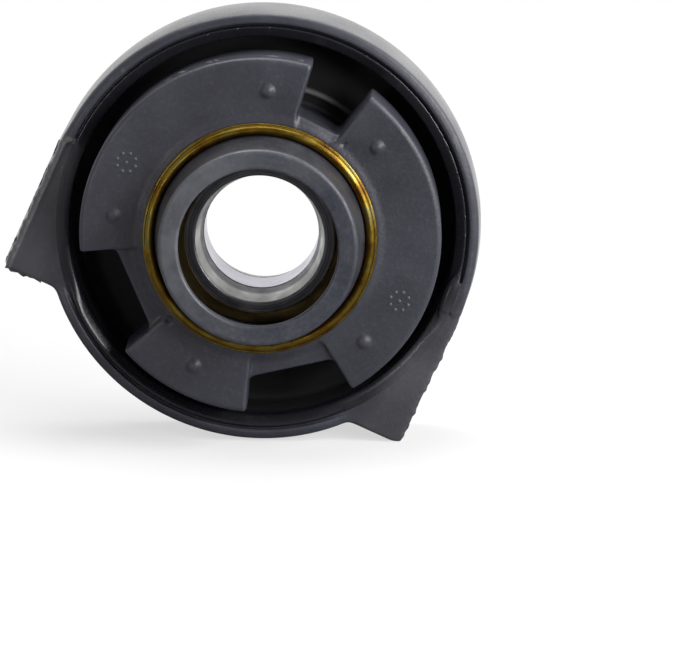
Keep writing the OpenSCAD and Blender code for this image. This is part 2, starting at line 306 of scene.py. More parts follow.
def scuff_field(x, u, f):
    """Small dents in the lobes' faces."""
    balls = [(cx, cu, LOBE_FRONT + SCUFF_LIFT * dent, dent) for cx, cu, dent in SCUFFS]
    return nearest_ball(x, u, f, balls)


def ear_wear(x, u, f):
    """Depth of the wear on the ears' front edge; its waves stay between -2 and 2, so it only takes away."""
    side = np.sign(x)
    long_wave, short_wave, beat = (np.sin(wave * u + side) for wave in RAGGED_WAVES)
    waves = long_wave + short_wave * beat
    near_front = smooth_step(RING_FRONT - f, *RAGGED_FADE)
    return RAGGED * (2 + waves) * near_front


def ear_field(x, u, r, f):
    """Both ears: a straight bevelled flank with a worn edge, a flat foot and a fillet to the ring."""
    ax = np.abs(x)
    foot_in = math.sqrt((WALL_R + EAR_FILLET) ** 2 - (EAR_DROP + EAR_FILLET) ** 2)
    low = EAR_DROP + EAR_FILLET
    fillet = np.maximum(EAR_FILLET - np.hypot(ax - foot_in, u + low),
                        -(low * ax + foot_in * u) / math.hypot(low, foot_in))
    foot = np.where(ax > foot_in, -EAR_DROP - u, fillet)
    start = np.array([WALL_R * math.cos(EAR_LEAD), WALL_R * math.sin(EAR_LEAD)])
    lead = np.array([EAR_HALF, 0.0]) - start
    normal = np.array([-lead[1], lead[0]]) / np.hypot(*lead)
    top = (ax - start[0]) * normal[0] + (u - start[1]) * normal[1]
    above = u * math.cos(EAR_LEAD) - ax * math.sin(EAR_LEAD)
    leaned_on = x * math.sin(ROLL) - u * math.cos(ROLL) - REST_DROP
    wear = ear_wear(x, u, f)
    flank = ax - EAR_HALF + wear
    corner = smax(smax(flank, foot + FOOT_WEAR * wear, EAR_ROUND), leaned_on, WORN_ROUND)
    outline = np.maximum(smax(corner, top, EAR_TIP_ROUND), above)
    faces = slab(f, RING_BACK, RING_FRONT, EAR_ROUND)
    bevel = (flank + f - RING_FRONT + EAR_BEVEL) / math.sqrt(2)
    return smax(smax(np.maximum(outline, WALL_R - r), faces, EAR_FACE_ROUND), bevel, EAR_ROUND)


def pocket_field(x, u, f):
    """Sunk faces of both ears, rising into the rim; the left one has a ridge round its flank and top."""
    ax = np.abs(x)
    left = x < 0
    start, end = EAR_FADE
    deep = EAR_POCKET * smooth_step(np.arctan2(-u, ax), end, start)
    deep = deep * np.where(left, 1, smooth_step(u, 0, -RIGHT_FADE))
    plan = smax(ax - EAR_HALF + np.where(left, EAR_BORDER, 0), u, POCKET_ROUND)
    return smax(plan, RING_FRONT - deep - f, POCKET_FOOT_ROUND)


def cushion_field(p):
    """The whole cushion: ring, ears and web outside, hub and lobes inside."""
    x, u, f = p[..., 0], p[..., 1], p[..., 2]
    r = np.hypot(x, u)
    shell = smin(ring_field(x, u, r, f), ear_field(x, u, r, f), EAR_JOIN)
    shell = smax(shell, -pocket_field(x, u, f), POCKET_JOIN)
    shell = smax(smin(shell, web_field(r, f), WEB_JOIN), RING_BACK - f, BACK_ROUND)
    core = smin(hub_field(r, f), lobe_field(x, u, r, f), LOBE_JOIN)
    core = smin(core, nub_field(x, u, f), NUB_JOIN)
    core = smax(core, -scuff_field(x, u, f), SCUFF_ROUND)
    return smin(shell, core, CORE_JOIN)


# Mesh of a field
def gradient(field, p, step=0.02):
    """Slope of a field at points."""
    g = np.empty_like(p)
    for axis in range(3):
        shift = np.zeros(3)
        shift[axis] = step
        g[:, axis] = (field(p + shift) - field(p - shift)) / (2 * step)
    return g


def project(field, p, limit, least_slope=0.05):
    """Moves points along the field's slope onto its surface."""
    g = gradient(field, p)
    move = field(p) / np.maximum((g * g).sum(1), least_slope)
    return p - np.clip(move, -limit, limit)[:, None] * g


def surface_net(field, low, high, cell, slices=16, rounds=3):
    """Closed quad mesh of a field's zero surface, its corners settled on the surface."""
    axes = [np.arange(a - 2 * cell, b + 3 * cell, cell) for a, b in zip(low, high)]
    grid = np.stack(np.meshgrid(*axes, indexing="ij"), axis=-1)
    value = np.concatenate([field(part) for part in np.array_split(grid, slices)])
    inside = value < 0
    shape = np.array(inside.shape)
    corner = [inside[i:shape[0] - 1 + i, j:shape[1] - 1 + j, k:shape[2] - 1 + k]
              for i in (0, 1) for j in (0, 1) for k in (0, 1)]
    count = sum(c.astype(np.int8) for c in corner)
    cut = (count > 0) & (count < 8)
    index = np.full(cut.shape, -1, np.int64)
    index[cut] = np.arange(cut.sum())
    points = np.argwhere(cut) * cell + np.array([a[0] for a in axes]) + cell / 2
    quads = []
    for axis in range(3):
        ahead = [slice(None)] * 3
        behind = [slice(None)] * 3
        ahead[axis], behind[axis] = slice(1, None), slice(None, -1)
        a, b = inside[tuple(behind)], inside[tuple(ahead)]
        for leaving in (True, False):
            at = np.argwhere((a & ~b) if leaving else (~a & b))
            one, two = [k for k in range(3) if k != axis]
            around = []
            for d1, d2 in ((-1, -1), (0, -1), (0, 0), (-1, 0)):
                cell_at = at.copy()
                cell_at[:, one] += d1
                cell_at[:, two] += d2
                around.append(index[cell_at[:, 0], cell_at[:, 1], cell_at[:, 2]])
            flip = leaving == (axis == 1)
            quads.append(np.stack(around[::-1] if flip else around, axis=1))
    quads = np.concatenate(quads)
    for _ in range(rounds):
        points = project(field, points, cell / 2)
        total = np.zeros_like(points)
        uses = np.zeros(len(points))
        for k in range(4):
            np.add.at(total, quads[:, k], points[quads[:, (k + 1) % 4]] + points[quads[:, (k + 3) % 4]])
            np.add.at(uses, quads[:, k], 2)
        points = 0.5 * points + 0.5 * total / uses[:, None]
    for _ in range(rounds):
        points = project(field, points, cell / 2)
    return points, quads


def to_row(points):
    """Points of x, u, f in millimetres to the row frame in metres."""
    return np.stack([points[:, 0], -points[:, 2], points[:, 1]], axis=1) * MM


def mesh_object(name, points, faces, material):
    """Object of a smooth mesh, given in x, u, f."""
    mesh = bpy.data.meshes.new(name)
    mesh.from_pydata(to_row(np.asarray(points, float)).tolist(), [], [tuple(face) for face in faces])
    mesh.validate()
    mesh.polygons.foreach_set("use_smooth", [True] * len(mesh.polygons))
    mesh.materials.append(material)
    made = bpy.data.objects.new(name, mesh)
    bpy.context.scene.collection.objects.link(made)
    return made


def thinned(made, ratio):
    """Replaces an object's mesh by one with fewer faces where it is flat."""
    modifier = made.modifiers.new("thin", "DECIMATE")
    modifier.ratio = ratio
    bpy.context.view_layer.update()
    lean = bpy.data.meshes.new_from_object(made.evaluated_get(bpy.context.evaluated_depsgraph_get()))
    made.modifiers.clear()
    made.data = lean
    lean.polygons.foreach_set("use_smooth", [True] * len(lean.polygons))
    return made


# Profiles turned round the bore
def rounded(profile, steps=4, support=0.12, most_cut=0.45, most_hold=0.48):
    """Closed profile of (r, f, round) corners with each corner rounded and held by loops beside it."""
    out = []
    count = len(profile)
    for i, (r, f, radius) in enumerate(profile):
        here = np.array([r, f])
        before = np.array(profile[i - 1][:2]) - here
        after = np.array(profile[(i + 1) % count][:2]) - here
        l1, l2 = np.hypot(*before), np.hypot(*after)
        d1, d2 = before / l1, after / l2
        cut = min(radius, most_cut * l1, most_cut * l2)
        hold = min(cut + support, most_hold * l1, most_hold * l2)
        start, end = here + d1 * cut, here + d2 * cut
        out.append(here + d1 * hold)
        for k in range(steps + 1):
            t = k / steps
            out.append((1 - t) ** 2 * start + 2 * t * (1 - t) * here + t * t * end)
        out.append(here + d2 * hold)
    return np.array(out)


def lathe(name, profile, material, segments=192):
    """Closed ring of a profile of (r, f), running anticlockwise in that plane."""
    count = len(profile)
    turn = np.linspace(0, 2 * math.pi, segments, endpoint=False)
    x = np.cos(turn)[:, None] * profile[None, :, 0]
    u = np.sin(turn)[:, None] * profile[None, :, 0]
    f = np.broadcast_to(profile[None, :, 1], x.shape)
    points = np.stack([x, u, f], axis=-1).reshape(-1, 3)
    s, k = np.meshgrid(np.arange(segments), np.arange(count), indexing="ij")
    s2, k2 = (s + 1) % segments, (k + 1) % count
    faces = np.stack([s * count + k, s2 * count + k, s2 * count + k2, s * count + k2], axis=-1)
    return mesh_object(name, points, faces.reshape(-1, 4), material)


def turned_over(profile):
    """The same profile on the far side of the bearing."""
    return [(r, -f, radius) for r, f, radius in reversed(profile)]


# Lengths over which the looks of the rubber change, and how far the outer wall faces the front
LIP_MARGIN = 0.4
RECESS_FADE = (-2.0, 6.0)
HUB_FADE = (0.4, 1.4)
FOLD_FADE = (0.5, 1.1)
CREST_FADE = (1.0, 0.3)
CREST_REACH = 1.2
RIDGE_SHIFT = 0.6
EAR_ZONE_SIDE = (43.0, 51.0)
EAR_ZONE_TOP = 5.0
OUTER_FADE = 0.6
OUTER_FACING = (0.6, 0.35)

# Strength of the looks of the rubber, as shares or factors; the lip and the recess get painted shade, the
# ridge a painted highlight, the ears painted light, and the edges a paleness that is partly wear and partly
# painted highlight
LIP_SHADE = 0.75
LIP_EVEN = 0.92
RIDGE_HIGHLIGHT = 0.7
EAR_PAINTED_LIGHT = 0.3
EDGE_WEAR_AND_HIGHLIGHT = 1.9
RECESS_SHADE = 0.15
RECESS_ROUGH = 0.85

# Dust seals: depth of the face's edge, a darker cone, and paler patches on the face towards the left
FACE_EDGE = 2.0
CONE_DARK = 0.35
LEFT_PALE_FROM = 10.0
LEFT_PALE_SHARE = 0.75
LEFT_PALE_COLOUR = (0.13, 0.132, 0.145)

# Sleeve: painted shade, brown, inside its bead
INNER_FADE = (0.7, 0.2)
INNER_SHADE_SHARE = 0.8
INNER_SHADE_COLOUR = (0.19, 0.075, 0.014)

# Slinger: radii between which its colours run
SLINGER_ZONE = (14.0, 24.0)

# Metres a radian along marks that run round the bore, so that they come out long
ROUND_STRETCH = 0.0012


# Materials
def new_material(name):
    made = bpy.data.materials.new(name)
    made.use_nodes = True
    tree = made.node_tree
    shader = tree.nodes["Principled BSDF"]
    return made, tree, shader


def plug(tree, socket, value):
    """Links another node's output to an input, or sets the input to a value."""
    if isinstance(value, bpy.types.NodeSocket):
        tree.links.new(value, socket)
    else:
        socket.default_value = value


def add(tree, kind, inputs=None, **settings):
    """New node with its settings, and inputs given as values or as other nodes' outputs."""
    made = tree.nodes.new(kind)
    for key, value in settings.items():
        setattr(made, key, value)
    for key, value in (inputs or {}).items():
        plug(tree, made.inputs[key], value)
    return made


def split(tree, vector):
    """X, Y and Z of a vector."""
    return add(tree, "ShaderNodeSeparateXYZ", {"Vector": vector}).outputs


def place(tree):
    """Point on the piece, in metres in the row frame."""
    return add(tree, "ShaderNodeTexCoord").outputs["Object"]


def noise(tree, where, scale, detail=4.0, rough=0.55):
    return add(tree, "ShaderNodeTexNoise",
               {"Vector": where, "Scale": scale, "Detail": detail, "Roughness": rough}).outputs["Fac"]


def ramp(tree, value, stops):
    """Colour or grey ramp through (position, colour) stops."""
    made = add(tree, "ShaderNodeValToRGB", {"Fac": value})
    points = made.color_ramp.elements
    while len(points) < len(stops):
        points.new(0.5)
    for point, (at, colour) in zip(points, stops):
        point.position = at
        point.color = (*colour, 1) if len(colour) == 3 else (colour[0],) * 3 + (1,)
    return made.outputs["Color"]


def mixed(tree, share, a, b, blend="MIX"):
    """Blend of two colours, each an output or red, green and blue."""
    made = add(tree, "ShaderNodeMix", data_type="RGBA", blend_type=blend)
    for socket, value in ((made.inputs[0], share), (made.inputs[6], a), (made.inputs[7], b)):
        plug(tree, socket, (*value, 1) if isinstance(value, tuple) else value)
    return made.outputs[2]


def math_node(tree, operation, *values):
    made = add(tree, "ShaderNodeMath", operation=operation)
    for socket, value in zip(made.inputs, values):
        plug(tree, socket, value)
    return made.outputs[0]


def bumped(tree, shader, height, strength, distance):
    made = add(tree, "ShaderNodeBump", {"Height": height, "Strength": strength, "Distance": distance})
    tree.links.new(made.outputs["Normal"], shader.inputs["Normal"])


def times(tree, *values):
    product = values[0]
    for value in values[1:]:
        product = math_node(tree, "MULTIPLY", product, value)
    return product


def fade(tree, value, start, end):
    """Smooth step from nought at start to one at end."""
    return add(tree, "ShaderNodeMapRange", {"Value": value, "From Min": start, "From Max": end},
               interpolation_type="SMOOTHSTEP").outputs["Result"]


def fade_mm(tree, value, start, end):
    """The same step between two lengths in millimetres."""
    return fade(tree, value, start * MM, end * MM)


def away_from(tree, value, centre):
    return math_node(tree, "ABSOLUTE", math_node(tree, "SUBTRACT", value, centre))


def polar(tree):
    """Radius from the bore in metres, and a vector that runs round it, for turned surfaces."""
    parts = split(tree, place(tree))
    square = math_node(tree, "ADD", math_node(tree, "MULTIPLY", parts["X"], parts["X"]),
                       math_node(tree, "MULTIPLY", parts["Z"], parts["Z"]))
    radius = math_node(tree, "SQRT", square)
    angle = math_node(tree, "ARCTAN2", parts["Z"], parts["X"])
    around = add(tree, "ShaderNodeCombineXYZ",
                 {"X": radius, "Y": math_node(tree, "MULTIPLY", angle, ROUND_STRETCH), "Z": parts["Y"]})
    return radius, around.outputs["Vector"]


# Mask of the painted shade in the recess; it also makes the recess rougher
def inside_recess(tree, radius):
    """One deep in front of the web, between the hub and the ring, and nought on open faces."""
    depth = split(tree, place(tree))["Y"]
    slope = WEB_RISE / (RING_IN - HUB_R)
    web_mid = (RING_BACK + RING_IN * slope + WEB_T / 2) * MM
    ahead = math_node(tree, "SUBTRACT", math_node(tree, "MULTIPLY", radius, slope), depth)
    ahead = math_node(tree, "GREATER_THAN", ahead, web_mid)
    deep = fade_mm(tree, depth, *RECESS_FADE)
    within = math_node(tree, "LESS_THAN", radius, WALL_R * MM)
    off_hub = fade_mm(tree, radius, *(HUB_R + edge for edge in HUB_FADE))
    off_fold = fade_mm(tree, away_from(tree, radius, FOLD_R * MM), *FOLD_FADE)
    return times(tree, deep, within, ahead, off_hub, off_fold)


def on_lip(tree, radius):
    """One on the smooth bevel inside the ring's front edge."""
    return math_node(tree, "COMPARE", radius, (RING_IN - LIP_IN / 2) * MM, (LIP_IN / 2 + LIP_MARGIN) * MM)


def on_ears(tree):
    """One on the ears' faces and the ring's edge beside them."""
    parts = split(tree, place(tree))
    beside = fade_mm(tree, math_node(tree, "ABSOLUTE", parts["X"]), *EAR_ZONE_SIDE)
    below = fade_mm(tree, parts["Z"], EAR_ZONE_TOP, -EAR_ZONE_TOP)
    return times(tree, beside, below)


# Mask of the painted highlight along the fold's crest
def on_fold(tree, radius):
    """One along the crest of the fold above the hub, in front of the web."""
    parts = split(tree, place(tree))
    crest = -(RING_BACK + (RING_IN - FOLD_R) * WEB_RISE / (RING_IN - HUB_R) + WEB_T + FOLD_ROUND)
    near = fade_mm(tree, away_from(tree, radius, FOLD_R * MM), *CREST_FADE)
    above_hub = math_node(tree, "GREATER_THAN", parts["Z"], HUB_R * MM)
    at_crest = math_node(tree, "COMPARE", parts["Y"], crest * MM, CREST_REACH * MM)
    return times(tree, near, above_hub, at_crest)


# Mask of the painted highlight along the left ear's ridge
def on_ridge(tree, radius):
    """One along the crest of the left ear's ridge."""
    parts = split(tree, place(tree))
    flank = math_node(tree, "SUBTRACT", math_node(tree, "MULTIPLY", parts["X"], -1.0),
                      (EAR_HALF - EAR_BORDER) * MM)
    edge = math_node(tree, "SMOOTH_MAX", flank, parts["Z"], POCKET_ROUND * MM)
    near = fade_mm(tree, away_from(tree, edge, RIDGE_SHIFT * MM), *CREST_FADE)
    outside = math_node(tree, "GREATER_THAN", radius, RING_IN * MM)
    left = math_node(tree, "LESS_THAN", parts["X"], 0.0)
    return times(tree, near, outside, left)


def rubber_material(name, dark, light, pale_dust_and_light, rough_low, rough_high):
    """Moulded rubber: cloudy bloom, fine grain, paler edges that are partly wear and partly painted
    highlight, and painted shade that makes the recess and the lip very dark.

    The outer wall is paler, partly a real dusting and partly painted sheen; the ears get painted light in
    patches, and the fold and the left ear's ridge get painted highlights on their crests.
    """
    made, tree, shader = new_material(name)
    where = place(tree)
    cloud = ramp(tree, noise(tree, where, 45, 5), [(0.32, dark), (0.7, light)])
    speck = ramp(tree, noise(tree, where, 900, 2), [(0.45, (0.86,)), (0.62, (1.0,)), (0.75, (1.25,))])
    body = mixed(tree, 1.0, cloud, speck, "MULTIPLY")
    # Paler convex edges: partly wear and partly painted highlight
    edge = add(tree, "ShaderNodeNewGeometry").outputs["Pointiness"]
    worn = ramp(tree, edge, [(0.50, (0.0,)), (0.62, (0.55,))])
    pale = tuple(min(1, c * EDGE_WEAR_AND_HIGHLIGHT) for c in light)
    radius, _ = polar(tree)
    facing = add(tree, "ShaderNodeTexCoord").outputs["Normal"]
    ahead = math_node(tree, "ABSOLUTE", split(tree, facing)["Y"])
    outside = fade_mm(tree, radius, RING_R - OUTER_FADE, RING_R)
    outer = times(tree, outside, fade(tree, ahead, *OUTER_FACING))
    patchy = ramp(tree, noise(tree, where, 38, 5), [(0.3, (0.2,)), (0.7, (1.0,))])
    faces = mixed(tree, worn, body, pale)
    recess = inside_recess(tree, radius)
    lip = on_lip(tree, radius)
    ears = on_ears(tree)
    # The lip's bevel, away from the ears, gets painted shade as well
    bare_lip = times(tree, lip, math_node(tree, "SUBTRACT", 1.0, ears))
    # Painted shade: the recess and the bare lip are mixed towards a very dark copy of the rubber
    painted_shade = tuple(RECESS_SHADE * c for c in dark)
    faces = mixed(tree, math_node(tree, "MAXIMUM", recess, times(tree, bare_lip, LIP_SHADE)), faces, painted_shade)
    # Painted highlights: the left ear's ridge and the fold's crest are mixed towards a pale colour
    ridge_highlight = times(tree, on_ridge(tree, radius), ahead, RIDGE_HIGHLIGHT)
    crest_highlight = math_node(tree, "MAXIMUM", ridge_highlight, on_fold(tree, radius))
    faces = mixed(tree, crest_highlight, faces, pale_dust_and_light)
    # Paler outer wall, partly a real dusting and partly painted sheen, and painted light on the ears, laid
    # on in patches
    dust = math_node(tree, "MAXIMUM", outer, times(tree, ears, EAR_PAINTED_LIGHT))
    faces = mixed(tree, times(tree, dust, patchy), faces, pale_dust_and_light)
    tree.links.new(faces, shader.inputs["Base Color"])
    rough = ramp(tree, noise(tree, where, 120, 4), [(0.3, (rough_low,)), (0.7, (rough_high,))])
    smooth = ramp(tree, noise(tree, where, 60, 4), [(0.3, (0.2,)), (0.7, (0.3,))])
    satin = ramp(tree, noise(tree, where, 60, 4), [(0.3, (0.21,)), (0.7, (0.3,))])
    rough = mixed(tree, lip, rough, satin)
    rough = mixed(tree, recess, rough, (RECESS_ROUGH,) * 3)
    tree.links.new(mixed(tree, outer, rough, smooth), shader.inputs["Roughness"])
    shader.inputs["Specular IOR Level"].default_value = 0.4
    grain = math_node(tree, "ADD", noise(tree, where, 1400, 3),
                      math_node(tree, "MULTIPLY", noise(tree, where, 260, 3), 1.5))
    grain = times(tree, grain, math_node(tree, "SUBTRACT", 1.0, times(tree, lip, LIP_EVEN)))
    bumped(tree, shader, grain, 0.35, 0.0002)
    return made


def zinc_material():
    """Yellow zinc plate: gold with green, pink and brown clouds, streaked round the bead."""
    made, tree, shader = new_material("yellow_zinc")
    radius, around = polar(tree)
    where = place(tree)
    hue = ramp(tree, noise(tree, where, 160, 3), [
        (0.28, (0.115, 0.053, 0.010)), (0.42, (0.175, 0.103, 0.014)), (0.55, (0.22, 0.150, 0.023)),
        (0.70, (0.175, 0.150, 0.050)), (0.85, (0.21, 0.103, 0.045))])
    # Painted shade: the sleeve's inside, within its bead, is mixed towards brown
    start, end = (SLEEVE_IN_R + edge for edge in INNER_FADE)
    inner = add(tree, "ShaderNodeMapRange",
                {"Value": radius, "From Min": start * MM, "From Max": end * MM}).outputs["Result"]
    hue = mixed(tree, math_node(tree, "MULTIPLY", inner, INNER_SHADE_SHARE), hue, INNER_SHADE_COLOUR)
    streak = ramp(tree, noise(tree, around, 5200, 3), [(0.35, (0.55,)), (0.65, (1.0,))])
    tree.links.new(mixed(tree, 1.0, hue, streak, "MULTIPLY"), shader.inputs["Base Color"])
    shader.inputs["Metallic"].default_value = 1.0
    rough = ramp(tree, noise(tree, where, 300, 3), [(0.3, (0.26,)), (0.7, (0.45,))])
    tree.links.new(rough, shader.inputs["Roughness"])
    bumped(tree, shader, noise(tree, around, 4200, 2), 0.25, 0.0001)
    return made


def steel_material(name, bright, dull, rough_low, rough_high):
    """Ground steel with fine marks round the axis."""
    made, tree, shader = new_material(name)
    _, around = polar(tree)
    marks = noise(tree, around, 6000, 3)
    tree.links.new(ramp(tree, marks, [(0.3, dull), (0.7, bright)]), shader.inputs["Base Color"])
    shader.inputs["Metallic"].default_value = 1.0
    smear = noise(tree, place(tree), 140, 4)
    rough = ramp(tree, smear, [(0.3, (rough_low,)), (0.7, (rough_high,))])
    tree.links.new(rough, shader.inputs["Roughness"])
    bumped(tree, shader, marks, 0.12, 0.00005)
    return made


def slinger_material():
    """Slinger: bright ground taper, a face made dark as painted shade, gold plate on the rim brightened as
    a painted highlight, and painted shadow that darkens the disc outwards.
    """
    made, tree, shader = new_material("slinger_steel")
    radius, around = polar(tree)
    marks = noise(tree, around, 5200, 3)
    low, high = SLINGER_ZONE
    zone = add(tree, "ShaderNodeMapRange",
               {"Value": radius, "From Min": low * MM, "From Max": high * MM}).outputs["Result"]
    # The face stops are painted shade with dark ring lines, the bright rim stop is gold plate brightened as
    # a painted highlight, and the stops beyond it are painted shadow under the seal's lip
    colour = ramp(tree, zone, [
        (0.0, (0.20, 0.20, 0.21)), (0.165, (0.17, 0.17, 0.18)), (0.185, (0.54, 0.54, 0.52)),
        (0.275, (0.46, 0.46, 0.45)), (0.295, (0.07, 0.07, 0.08)), (0.36, (0.09, 0.09, 0.10)),
        (0.375, (0.03, 0.03, 0.034)), (0.39, (0.09, 0.088, 0.098)), (0.455, (0.045, 0.045, 0.05)),
        (0.47, (0.10, 0.098, 0.104)), (0.525, (0.085, 0.082, 0.085)), (0.545, (0.85, 0.62, 0.44)),
        (0.57, (0.42, 0.28, 0.14)), (0.60, (0.22, 0.15, 0.06)), (0.72, (0.17, 0.12, 0.05)),
        (0.92, (0.10, 0.07, 0.03))])
    grime = ramp(tree, marks, [(0.3, (0.65,)), (0.7, (1.05,))])
    tree.links.new(mixed(tree, 1.0, colour, grime, "MULTIPLY"), shader.inputs["Base Color"])
    shader.inputs["Metallic"].default_value = 1.0
    smear = noise(tree, place(tree), 220, 4)
    tree.links.new(ramp(tree, smear, [(0.3, (0.28,)), (0.7, (0.5,))]), shader.inputs["Roughness"])
    bumped(tree, shader, marks, 0.15, 0.00005)
    return made


def cap_material():
    """Dust seals: blue-grey moulding with faint rings, greasy clouds, and paler patches towards the left.
    """
    made, tree, shader = new_material("dust_seal_rubber")
    _, around = polar(tree)
    where = place(tree)
    cloud = ramp(tree, noise(tree, where, 70, 5), [
        (0.3, (0.020, 0.022, 0.033)), (0.5, (0.034, 0.037, 0.050)), (0.72, (0.056, 0.058, 0.068))])
    rings = ramp(tree, noise(tree, around, 2600, 3), [(0.3, (0.82,)), (0.7, (1.12,))])
    speck = ramp(tree, noise(tree, where, 1000, 3), [(0.4, (0.8,)), (0.55, (1.0,)), (0.7, (1.35,))])
    body = mixed(tree, 1.0, mixed(tree, 1.0, cloud, rings, "MULTIPLY"), speck, "MULTIPLY")
    parts = split(tree, where)
    off_face = fade_mm(tree, math_node(tree, "ABSOLUTE", parts["Y"]), DUST_FRONT, DUST_FRONT - FACE_EDGE)
    body = mixed(tree, times(tree, off_face, CONE_DARK), body, (0.0, 0.0, 0.0))
    patchy = ramp(tree, noise(tree, where, 190, 5), [(0.3, (0.35,)), (0.7, (1.0,))])
    # Paler patches on the face, growing towards the left
    left_pale = times(tree, fade_mm(tree, parts["X"], LEFT_PALE_FROM, -DUST_OUT_R), patchy, LEFT_PALE_SHARE)
    left_pale = times(tree, left_pale, math_node(tree, "SUBTRACT", 1.0, off_face))
    tree.links.new(mixed(tree, left_pale, body, LEFT_PALE_COLOUR), shader.inputs["Base Color"])
    rough = ramp(tree, noise(tree, where, 160, 4), [(0.3, (0.33,)), (0.7, (0.52,))])
    tree.links.new(rough, shader.inputs["Roughness"])
    bumped(tree, shader, noise(tree, where, 700, 3), 0.2, 0.00015)
    return made


RUBBER = rubber_material("cushion_rubber", (0.024, 0.024, 0.033), (0.041, 0.041, 0.055),
                         (0.15, 0.148, 0.15), 0.36, 0.52)
CAP = cap_material()
ZINC = zinc_material()
STEEL = steel_material("bore_steel", (0.47, 0.46, 0.53), (0.39, 0.38, 0.44), 0.16, 0.3)
PRESSED = steel_material("pressed_steel", (0.58, 0.58, 0.59), (0.46, 0.46, 0.47), 0.25, 0.4)
POLISHED = steel_material("ball_steel", (0.74, 0.74, 0.76), (0.70, 0.70, 0.72), 0.05, 0.1)
SLINGER = slinger_material()


# Cushion
CUSHION_CELL = 0.46
CUSHION_TRIANGLES = 180000


def make_cushion():
    low = (-EAR_EDGE, -CROWN_R, min(RING_BACK, HUB_BACK))
    high = (EAR_EDGE, CROWN_R, COLLAR_FRONT)
    points, quads = surface_net(cushion_field, low, high, CUSHION_CELL)
    dense = mesh_object("cushion_rubber", points, quads, RUBBER)
    made = thinned(dense, CUSHION_TRIANGLES / (2 * len(quads)))
    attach(made, "housing")
    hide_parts("cushion_ring", "cushion_web", "cushion_hub", "cushion_lobes")
    return made


make_cushion()


# Moulding flash: spacing of its points, depth of its root, and half its thickness at root and tip
FLASH_STEP = 0.3
FLASH_SUNK = 0.5
FLASH_ROOT = 0.2
FLASH_TIP = 0.07

# Its height and lean wander: points between knots, weight of broad and fine waves, and the least height
FLASH_KNOTS = (9, 3, 6)
FLASH_BROAD = 1.5
FLASH_FINE = 0.65
FLASH_CUT = 0.12
FLASH_LEAST = 0.02

# Each line of flash: how far behind the front face it stands, its greatest height and its random seed
FLANK_FLASH = (3.0, 0.65, 11)
FOOT_FLASH = (2.5, 0.9, 21)
LOBE_FLASH = (3.2, 0.6, 31)

# Where each line begins and ends: up the flanks, along the left foot, and round the lobe in degrees
FLANK_SPAN = (-EAR_DROP + 1.5, -1.0)
FLANK_INSET = 0.5
FOOT_SPAN = (-EAR_HALF + 0.8, -EAR_HALF + 11.0)
LOBE_SPAN = (101, 168)
LOBE_FLASH_STEP = 0.4
LOBE_INSET = 0.1


def make_flash(name, base, outward, f, tallest, seed):
    """Thin ragged fin of moulding flash that stands out along a line of points."""
    rng = np.random.default_rng(seed)
    count = len(base)
    at = np.arange(count)

    def wander(spacing):
        knots = rng.random(count // spacing + 3)
        return np.interp(at / spacing, np.arange(len(knots)), knots)

    broad, fine, sway = (wander(spacing) for spacing in FLASH_KNOTS)
    share = FLASH_BROAD * broad * (1 - FLASH_FINE + FLASH_FINE * fine) - FLASH_CUT
    tall = tallest * np.clip(share, FLASH_LEAST, 1)
    lean = sway - 0.5
    root, tip = base - FLASH_SUNK * outward, base + tall[:, None] * outward
    section = ((root, -FLASH_ROOT), (tip, lean - FLASH_TIP), (tip, lean + FLASH_TIP), (root, FLASH_ROOT))
    rows = [np.column_stack([line, np.broadcast_to(f + shift, count)]) for line, shift in section]
    points = np.stack(rows, axis=1).reshape(-1, 3)
    faces = [(4 * i + k, 4 * i + (k + 1) % 4, 4 * i + 4 + (k + 1) % 4, 4 * i + 4 + k)
             for i in range(count - 1) for k in range(4)]
    last = 4 * count - 4
    faces += [(3, 2, 1, 0), (last, last + 1, last + 2, last + 3)]
    made = mesh_object(name, points, faces, RUBBER)
    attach(made, "housing")
    return made


behind, tallest, seed = FLANK_FLASH
for side, label in ((-1, "left"), (1, "right")):
    along = np.arange(*FLANK_SPAN, FLASH_STEP)
    flank = np.column_stack([np.full_like(along, side * (EAR_HALF - FLANK_INSET)), along])
    outward = np.array([side, 0.0])
    make_flash("flash_flank_" + label, flank, outward, RING_FRONT - behind, tallest, seed + side)

behind, tallest, seed = FOOT_FLASH
along = np.arange(*FOOT_SPAN, FLASH_STEP)
foot = np.column_stack([along, np.full_like(along, -EAR_DROP)])
make_flash("flash_foot_left", foot, np.array([0.0, -1.0]), RING_FRONT - behind, tallest, seed)

behind, tallest, seed = LOBE_FLASH
turns = np.radians(np.arange(*LOBE_SPAN, LOBE_FLASH_STEP))
outward = np.column_stack([np.cos(turns), np.sin(turns)])
make_flash("flash_lobe", outward * (LOBE_R - LOBE_INSET), outward, LOBE_FRONT - behind, tallest, seed)


# Mould marks: degrees from the horizontal, distance from the bore, ring of dots, and size of a dot
MARK_TURN = 2.5
MARK_R = 39.7
MARK_RING_R = 2.5
MARK_DOTS = 8
DOT_R = 0.7
DOT_RISE = 0.2
DOT_SUNK = 0.3


